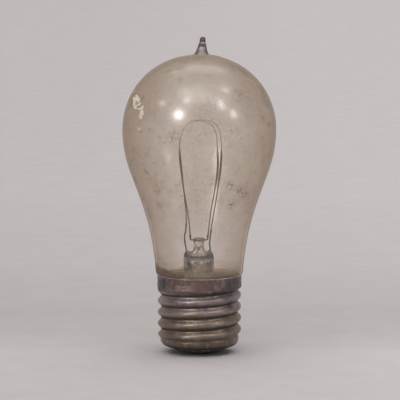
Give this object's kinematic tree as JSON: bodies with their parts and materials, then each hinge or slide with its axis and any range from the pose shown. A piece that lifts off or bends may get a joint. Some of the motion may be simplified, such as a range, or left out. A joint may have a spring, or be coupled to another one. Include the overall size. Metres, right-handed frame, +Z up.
{
  "type": "light bulb",
  "caption": "Dead tipped carbon-filament lamp: smoky blown glass bulb with a drawn tip, glass stem, hairpin filament and a tarnished brass screw cap.",
  "frame": {"origin": "centre of the centre contact's flat bottom, which the lamp stands on", "axes": "+Z up along the lamp's axis, from the contact to the tip; -Y is the front, towards the viewer; +X is to the right"},
  "size_m": [0.0485, 0.0484, 0.1001],
  "materials": {
    "bulb_glass": "clear glass, smoked grey-brown with age, with dust and scuffs",
    "stem_glass": "clear glass, browned",
    "old_paint": "flaking remains of cream paint",
    "carbon": "matt black-brown carbon",
    "nickel_wire": "dull oxidised nickel",
    "seal_metal": "dull platinum",
    "copper": "browned copper",
    "cap_brass": "brass tarnished to purple-brown and olive, worn paler on the crests",
    "plaster": "dusty plaster",
    "black_insulator": "black vitrified insulator, dulled",
    "contact_brass": "dull brass",
    "solder": "dull grey solder"
  },
  "bodies": {
    "root": {"glass_envelope": "bulb_glass", "glass_stem": "stem_glass", "filament_front": "carbon", "filament_rear": "carbon", "paste_lead_left": "carbon", "paste_lead_right": "carbon", "paste_bar_left": "carbon", "paste_bar_right": "carbon", "support_bar": "nickel_wire", "inner_lead_left": "nickel_wire", "inner_lead_right": "nickel_wire", "seal_wire_left": "seal_metal", "seal_wire_right": "seal_metal", "side_lead": "copper", "centre_lead": "copper", "screw_shell": "cap_brass", "basing_cement": "plaster", "base_insulator": "black_insulator", "centre_contact": "contact_brass", "centre_solder": "solder", "side_solder": "solder"}
  },
  "joints": []
}
